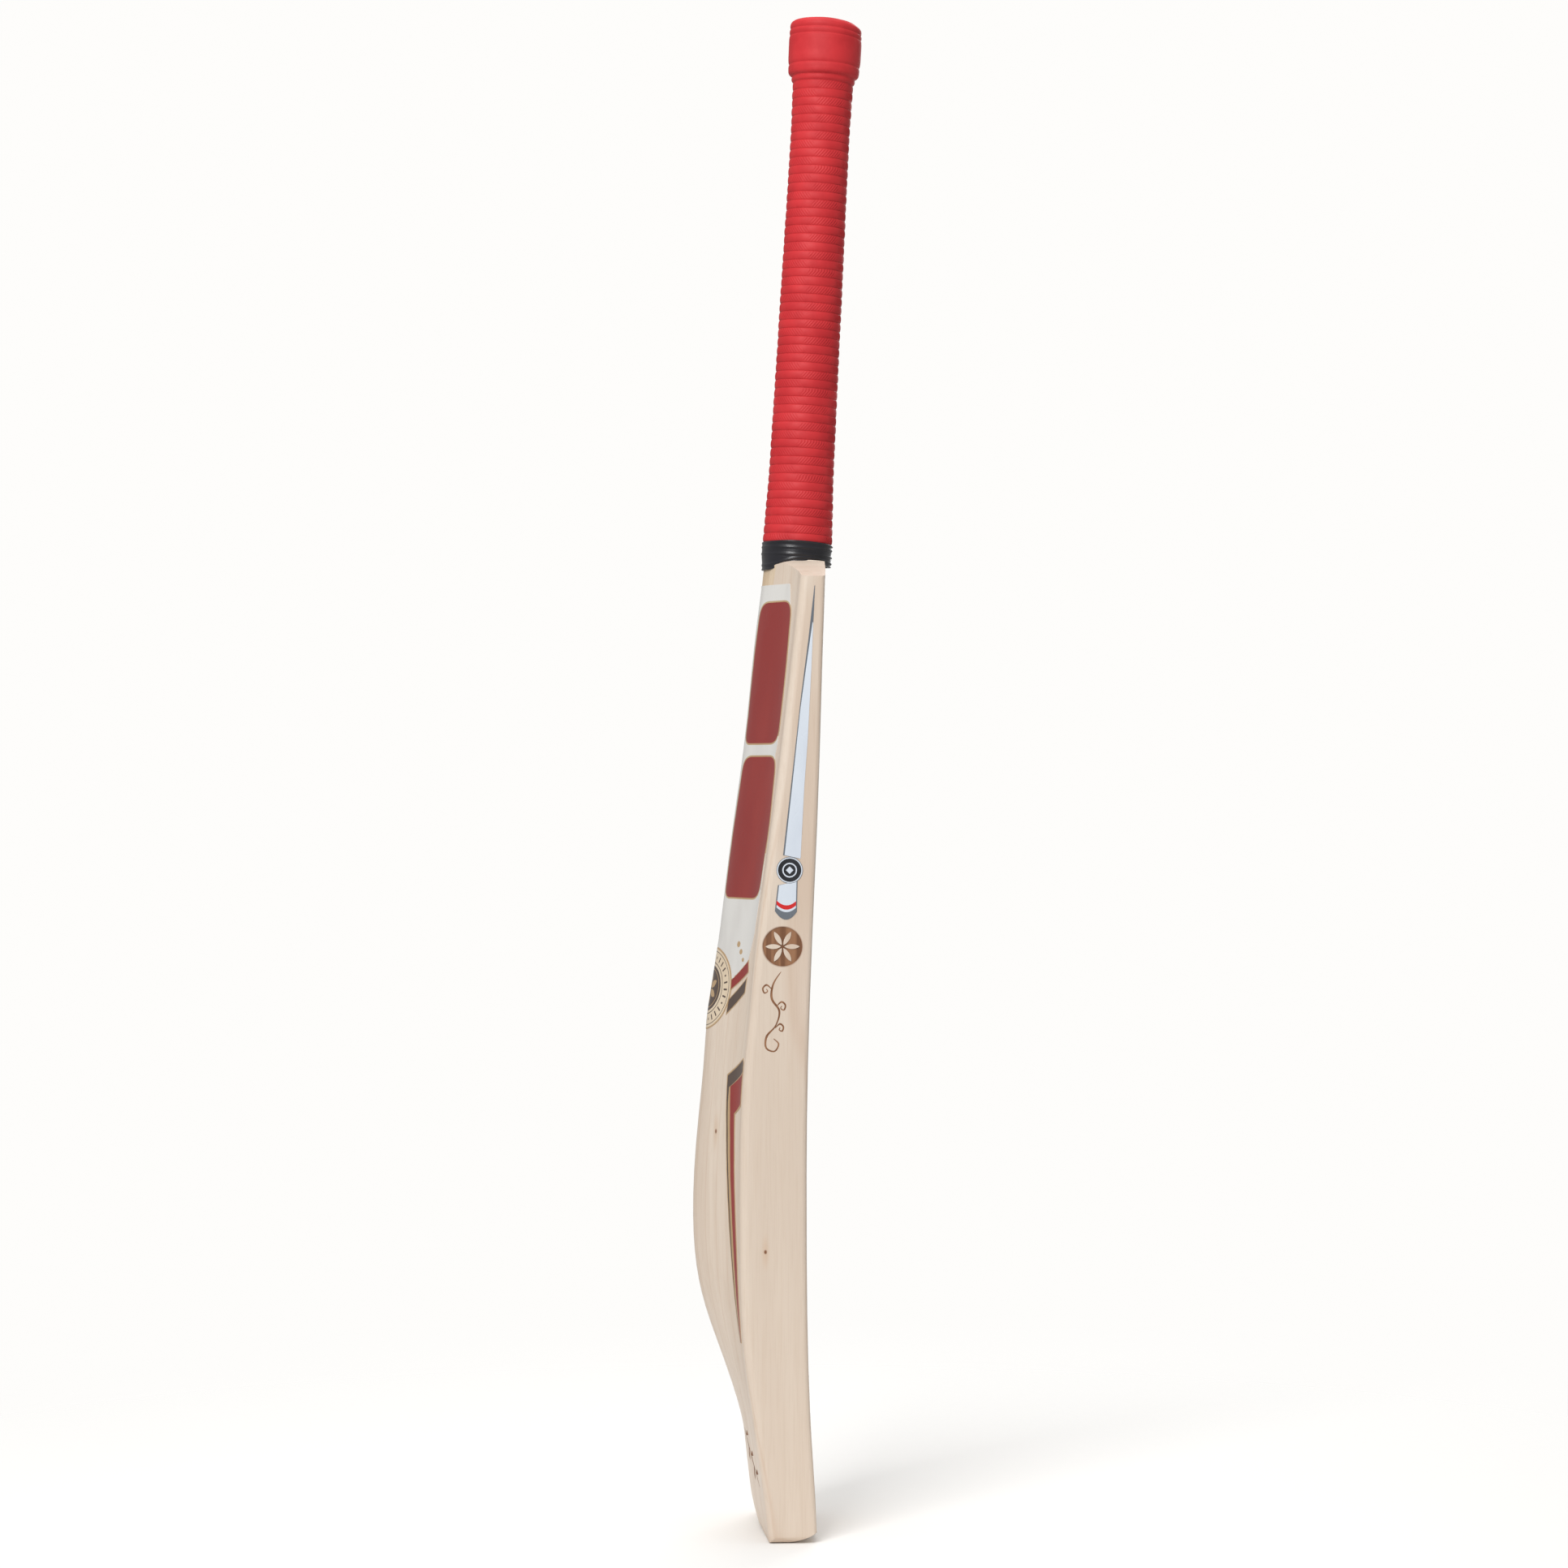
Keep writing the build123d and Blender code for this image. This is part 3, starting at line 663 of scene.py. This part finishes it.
def build_stripe(name, side):
    """Tapering stripe beside one edge: a dark line and a red band under a dark slanting bar."""
    bar = [(28.2, 251.0), (28.2, 256.5), (45.4, 266.5), (47.4, 264.4), (47.4, 259.9), (30.0, 250.5)]
    red_top = [(31.6, 250.7), (46.8, 258.7), (46.8, 242.0)]
    inner, line, band, outer = ([(row[i], row[0]) for row in STRIPE] for i in range(1, 5))
    dark = bar[:3] + bar[3:5] + [(30.2, 250.1)] + line[1:] + inner[:0:-1]
    red = red_top + outer[2:] + band[:0:-1]
    border = [(27.4, 257.1), (45.2, 267.3), (48.2, 265.1), (48.2, 241.0), (38.4, 235.6)]
    border += [(x + 0.6, z) for x, z in outer[3:]] + [(x - 0.6, z) for x, z in inner[:0:-1]]
    regions = []
    for slot, outline in ((TAN, border), (DARK, dark), (RED, red)):
        regions.append((slot, [(side * x, z) for x, z in outline]))
    piece = build_film(name, regions, meet_back, grid=2.5)
    return finish_piece(piece, "red_film", name.replace("long_stripe", "lower_stripe"))


BADGE = (-2.6, 375.6)


def build_edge_film(name, side):
    """Slim pale blade shape down the edge, a round badge, and a short tube with a red crescent."""
    left = [(-16.6, 534.6), (-13.0, 503.4), (-9.1, 473.5), (-3.9, 427.3), (1.1, 384.0)]
    right = [(-16.9, 534.6), (-16.2, 519.7), (-14.6, 489.8), (-12.3, 449.1), (-10.3, 421.9), (-8.1, 382.0)]
    wedge = anticlockwise(left + right[::-1])
    inner_left = [(-15.5, 514.0), (-12.6, 494.0), (-8.6, 465.0), (-3.9, 421.0), (0.2, 384.0)]
    inner_right = [(-15.9, 514.0), (-14.9, 489.8), (-12.8, 449.1), (-10.8, 421.9), (-8.7, 382.0)]
    inner = anticlockwise(inner_left + inner_right[::-1])
    tube = [(4.0, 367.2), (-7.0, 369.4)] + bowed((-6.6, 352.4), (5.7, 352.8), -4.6)
    tube_inner = [(3.3, 367.2), (-6.4, 369.4)] + bowed((-6.0, 352.6), (5.0, 353.0), -4.1)
    crescent = bowed((4.8, 358.8), (-6.2, 358.4), -2.6) + bowed((-6.1, 355.9), (4.8, 356.4), -2.6)
    end = bowed((4.9, 355.0), (-6.1, 354.6), -2.6) + bowed((-6.0, 352.6), (5.0, 353.0), -4.1)
    regions = [(GREY, wedge), (PALE, inner), (GREY, tube), (PALE, tube_inner), (BRIGHT, crescent), (GREY, end),
               (GREY, circle(BADGE, 7.4)), (PALE, circle(BADGE, 7.1)), (BLACK, circle(BADGE, 6.5)),
               (PALE, circle(BADGE, 4.1)), (BLACK, circle(BADGE, 3.4))]
    y, z = BADGE
    regions.append((PALE, [(y + 2.1, z), (y, z + 2.1), (y - 2.1, z), (y, z - 2.1)]))
    piece = build_film(name, regions, meet_edge(side), grid=2.0)
    return finish_piece(piece, "printed_film", name.replace("edge_film", "edge_sticker"))


def stroke(path, widths):
    """Outline of a brush stroke of changing width along a smooth path."""
    fine, wide = [], []
    count = len(path)
    for i in range(count - 1):
        p0, p1 = path[max(i - 1, 0)], path[i]
        p2, p3 = path[i + 1], path[min(i + 2, count - 1)]
        for step in range(10):
            t = step / 10
            fine.append(Vector([0.5 * (2 * p1[k] + (p2[k] - p0[k]) * t
                                       + (2 * p0[k] - 5 * p1[k] + 4 * p2[k] - p3[k]) * t * t
                                       + (3 * p1[k] - p0[k] - 3 * p2[k] + p3[k]) * t ** 3) for k in (0, 1)]))
            wide.append(widths[i] * (1 - t) + widths[i + 1] * t)
    fine.append(Vector(path[-1]))
    wide.append(widths[-1])
    left, right = [], []
    for i, point in enumerate(fine):
        run = (fine[min(i + 1, len(fine) - 1)] - fine[max(i - 1, 0)]).normalized()
        side = Vector((-run.y, run.x)) * wide[i] / 2
        left.append(tuple(point + side))
        right.append(tuple(point - side))
    return left, right


def build_strokes(name, strokes, meet):
    """Burnt strokes laid on the wood, as thin as a scorch."""
    vertices, faces, normals = [], [], []
    for layer, (path, widths) in enumerate(strokes):
        left, right = stroke(path, widths)
        start = len(vertices)
        for pair in zip(left, right):
            for place in pair:
                spot, normal = meet(place)
                vertices.append(spot + normal * (0.03 + 0.004 * layer) * MM)
                normals.append(normal)
        for i in range(len(left) - 1):
            a = start + 2 * i
            face = [a, a + 1, a + 3, a + 2]
            across = (vertices[a + 1] - vertices[a]).cross(vertices[a + 3] - vertices[a])
            faces.append(face if across.dot(normals[a]) > 0 else face[::-1])
    piece = new_mesh(name, vertices, faces, [BURNT], normals=normals)
    return finish_piece(piece, "willow")


def build_flourish(name, side):
    """Scroll on the edge: a waving stem with a curl at each bend. No letters."""
    strokes = [([(2.2, 319), (6.6, 312), (7.4, 304), (3.2, 297), (5.2, 289), (10.2, 283), (10.6, 276.6),
                 (6.0, 274.6), (3.6, 278.6), (6.4, 281.6)], [0.3, 1.0, 1.3, 1.1, 0.7, 1.2, 1.0, 0.8, 0.9, 0.4])]
    for y, z, turn, size in [(7.2, 309, 1, 1.0), (5.0, 299.5, -1, 1.0), (5.6, 287.5, -1, 0.9)]:
        curl = [(0, 0), (3.0, 2.6), (5.2, 0.8), (4.4, -1.8), (2.6, -1.0), (3.2, 0.4)]
        strokes.append(([(y + turn * a * size, z + b * size) for a, b in curl], [0.3, 1.0, 0.9, 0.8, 0.6, 0.4]))
    return build_strokes(name, strokes, meet_edge(side))


def build_toe_sprig(name, side):
    """Plain leaf sprig burnt low on the back, beside the spine."""
    strokes = [([(5.5, 57), (13, 49), (23, 39.5), (35, 28)], [0.5, 1.4, 1.6, 0.5])]
    for x, z, lean in [(9, 53.5, 1), (14, 48, -1), (19, 43.5, 1), (24, 38.5, -1), (28.5, 34.5, 1)]:
        tip = (x + (7.5 if lean > 0 else -1.0), z + (1.0 if lean > 0 else -8.0))
        bend = ((x + tip[0]) / 2 + 0.8 * lean, (z + tip[1]) / 2 + 1.2 * lean)
        strokes.append(([(x, z), bend, tip], [0.5, 3.2, 0.4]))
    strokes = [([(side * x, z) for x, z in path], widths) for path, widths in strokes]
    return build_strokes(name, strokes, meet_back)


# --- Scene -------------------------------------------------------------------------------------

EMBLEM_Z = (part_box("back_emblem")[0].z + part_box("back_emblem")[1].z) / 2 / MM
# The sunk disc on each edge, and the small knots.
MARK_PLACE = (0, 1.4 * MM, 329.2 * MM)
MARK_RADIUS = 10.9
KNOTS = [((-0.0203, 0.036, 0.2248), 0.0011), ((-0.0539, 0.0108, 0.1608), 0.0009),
         ((0.031, 0.030, 0.176), 0.0010), ((0.012, -0.014, 0.402), 0.0010)]

BLADE_CANES = ["cane_back_left", "cane_back_middle", "cane_back_right"]
GROUND = Ground(["blade", *BLADE_CANES])

# In the order of the ink names above.
INKS = [
    film("ink_white", colour(222, 220, 216), colour(210, 207, 203)),
    film("ink_brick_red", colour(140, 36, 32), colour(149, 48, 42)),
    film("ink_tan", colour(188, 158, 118), colour(172, 140, 102)),
    film("ink_dark_brown", colour(78, 62, 54), colour(92, 76, 66)),
    film("ink_cream", colour(226, 208, 182), colour(214, 194, 166)),
    film("ink_pale_blue", colour(218, 226, 236), colour(206, 214, 226), roughness=0.24),
    film("ink_black", colour(30, 32, 38), colour(44, 46, 52), roughness=0.24),
    film("ink_slate", colour(104, 110, 118), colour(122, 128, 136), roughness=0.24),
    film("ink_bright_red", colour(214, 40, 40), colour(196, 36, 38), roughness=0.24),
]
BURNT = burnt_wood()

looks = {"willow": willow(), "cane": cane(), "twine": twine(),
         "insert_rubber": rubber("insert_rubber_dark", colour(52, 44, 38), colour(40, 34, 30), 0.6, 900)}
for node in frame["nodes"].values():
    slot = next(s["material_slot"] for s in frame["record"]["subparts"] if s["node"] == node.name)
    if slot in looks:
        node.material_slots[0].material = looks[slot]

build_grip(rubber("grip_red_rubber", colour(203, 46, 51), colour(190, 38, 44), 0.60, 2600))
gloss_black = rubber("gloss_black_rubber", colour(34, 34, 40), colour(24, 24, 28), 0.34, 700, coat=0.25,
                     relief=0.0001)
build_collar(gloss_black)
build_cap(gloss_black)
build_back_label()
build_emblem()
build_chevrons()
for word, side in (("left", -1), ("right", 1)):
    build_stripe(f"long_stripe_{word}", side)
    build_edge_film(f"edge_film_{word}", side)
    build_flourish(f"edge_flourish_{word}", side)
    build_toe_sprig(f"toe_sprig_{word}", side)


def soft_light(name, place, aim, size, power):
    data = bpy.data.lights.new(name, "AREA")
    data.shape = "RECTANGLE"
    data.size, data.size_y = size
    data.energy = power
    light = bpy.data.objects.new(name, data)
    bpy.context.scene.collection.objects.link(light)
    light.location = place
    light.visible_camera = False
    light.rotation_euler = (Vector(aim) - Vector(place)).to_track_quat("-Z", "Y").to_euler()


FLOOR_REACH = 1.0
FLOOR_HEIGHT = -0.0004
FLOOR_CORNERS = 96


def pale_floor():
    """Round white floor under the bat that melts into the backdrop all round."""
    turns = [TAU * i / FLOOR_CORNERS for i in range(FLOOR_CORNERS)]
    corners = [(FLOOR_REACH * math.cos(t), FLOOR_REACH * math.sin(t), FLOOR_HEIGHT) for t in turns]
    paint = Surface("floor_paint", roughness=0.9, specular=0.1)
    tone = paint.noise(paint.scaled(3, 3, 3), detail=2)
    paint.set("Base Color", paint.mix(tone, (0.94, 0.932, 0.918, 1), (0.95, 0.942, 0.928, 1)))
    paint.set("Alpha", paint.step(paint.distance((0, 0, 0)), 0.10, 0.95 * FLOOR_REACH, 1.0, 0.0))
    floor = new_mesh("pale_floor", corners, [range(FLOOR_CORNERS)], [paint.material])


# How bright the surroundings are as a light, and as the backdrop that the camera sees.
SURROUND = 0.39
BACKDROP = 0.99


def studio_world():
    """Even soft light, with a plain pale backdrop behind the bat."""
    world = bpy.data.worlds.new("studio")
    bpy.context.scene.world = world
    world.use_nodes = True
    tree = world.node_tree
    backdrop = tree.nodes["Background"]
    backdrop.inputs["Color"].default_value = (1.0, 0.991, 0.974, 1)
    seen = tree.nodes.new("ShaderNodeLightPath").outputs["Is Camera Ray"]
    strength = tree.nodes.new("ShaderNodeMapRange")
    strength.inputs["To Min"].default_value = SURROUND
    strength.inputs["To Max"].default_value = BACKDROP
    tree.links.new(seen, strength.inputs["Value"])
    tree.links.new(strength.outputs[0], backdrop.inputs["Strength"])


pale_floor()
studio_world()
scene = bpy.context.scene
scene.view_settings.view_transform = "Standard"

soft_light("key", (-1.60, 0.78, 1.60), (0, 0, 0.72), (0.9, 0.9), 34)
soft_light("overhead", (0.0, 0.0, 2.4), (0, 0, 0), (1.3, 1.3), 15)
soft_light("far_side", (1.9, -0.5, 1.2), (0, 0, 0.45), (1.2, 1.4), 18)

# The bat is seen edge-on, turned four degrees towards its back, from its middle height.
camera = bpy.data.objects.new("camera", bpy.data.cameras.new("camera"))
scene.collection.objects.link(camera)
scene.camera = camera
FRAME_WIDTH = 0.8845
DISTANCE = 2.4
SENSOR = 36
camera.data.sensor_width = SENSOR
camera.data.lens = SENSOR * DISTANCE / FRAME_WIDTH
camera.data.clip_end = 60
turn = math.radians(4.0)
back = Vector((-math.cos(turn), math.sin(turn), 0))
target = Vector((0, -0.0032, 0.41885))
camera.location = target + back * DISTANCE
camera.rotation_mode = "QUATERNION"
camera.rotation_quaternion = (-back).to_track_quat("-Z", "Y")
